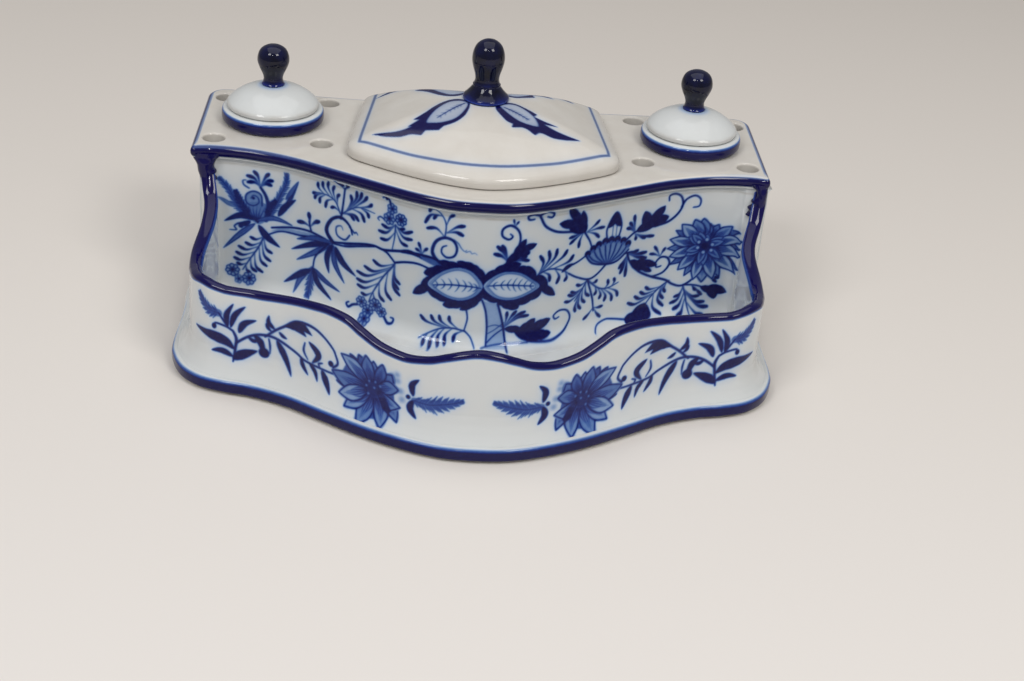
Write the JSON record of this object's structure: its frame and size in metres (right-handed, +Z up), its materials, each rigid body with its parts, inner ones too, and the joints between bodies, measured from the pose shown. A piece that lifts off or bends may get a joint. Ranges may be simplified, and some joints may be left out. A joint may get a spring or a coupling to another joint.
{
  "type": "desk inkstand",
  "caption": "Blue and white porcelain desk inkstand: serpentine case with lift-out ink pots and a domed lid behind a pen tray with a wavy front wall.",
  "frame": {"origin": "centre of the foot's outline, on the table", "axes": "+X along the front, to the right as seen from the front; +Y to the back; +Z up"},
  "size_m": [0.241, 0.183, 0.1163],
  "materials": {
    "body_glaze": "cool white glaze with cobalt underglaze painting",
    "cobalt_glaze": "solid cobalt blue under clear glaze"
  },
  "bodies": {
    "stand": {"foot_plate": "body_glaze", "gallery_front": "body_glaze", "wing_left": "body_glaze", "wing_right": "body_glaze", "case_panel": "body_glaze", "case_side_left": "body_glaze", "case_side_right": "body_glaze", "case_back": "body_glaze", "divider_left": "body_glaze", "divider_right": "body_glaze", "deck": "body_glaze"},
    "pot_left": {"ink_pot_left": "body_glaze"},
    "pot_right": {"ink_pot_right": "body_glaze"},
    "lid_left": {"pot_lid_left": "body_glaze", "lid_knob_left": "cobalt_glaze"},
    "lid_right": {"pot_lid_right": "body_glaze", "lid_knob_right": "cobalt_glaze"},
    "hatch": {"hatch_lid": "body_glaze", "finial_bell": "cobalt_glaze", "finial_acorn": "cobalt_glaze"}
  },
  "joints": [
    {"name": "pot_left_lift", "type": "slide", "parent": "stand", "child": "pot_left", "axis": [0, 0, 1], "range_m": [0, 0.05]},
    {"name": "pot_right_lift", "type": "slide", "parent": "stand", "child": "pot_right", "axis": [0, 0, 1], "range_m": [0, 0.05]},
    {"name": "lid_left_lift", "type": "slide", "parent": "pot_left", "child": "lid_left", "axis": [0, 0, 1], "range_m": [0, 0.03]},
    {"name": "lid_right_lift", "type": "slide", "parent": "pot_right", "child": "lid_right", "axis": [0, 0, 1], "range_m": [0, 0.03]},
    {"name": "hatch_lift", "type": "slide", "parent": "stand", "child": "hatch", "axis": [0, 0, 1], "range_m": [0, 0.04]}
  ]
}
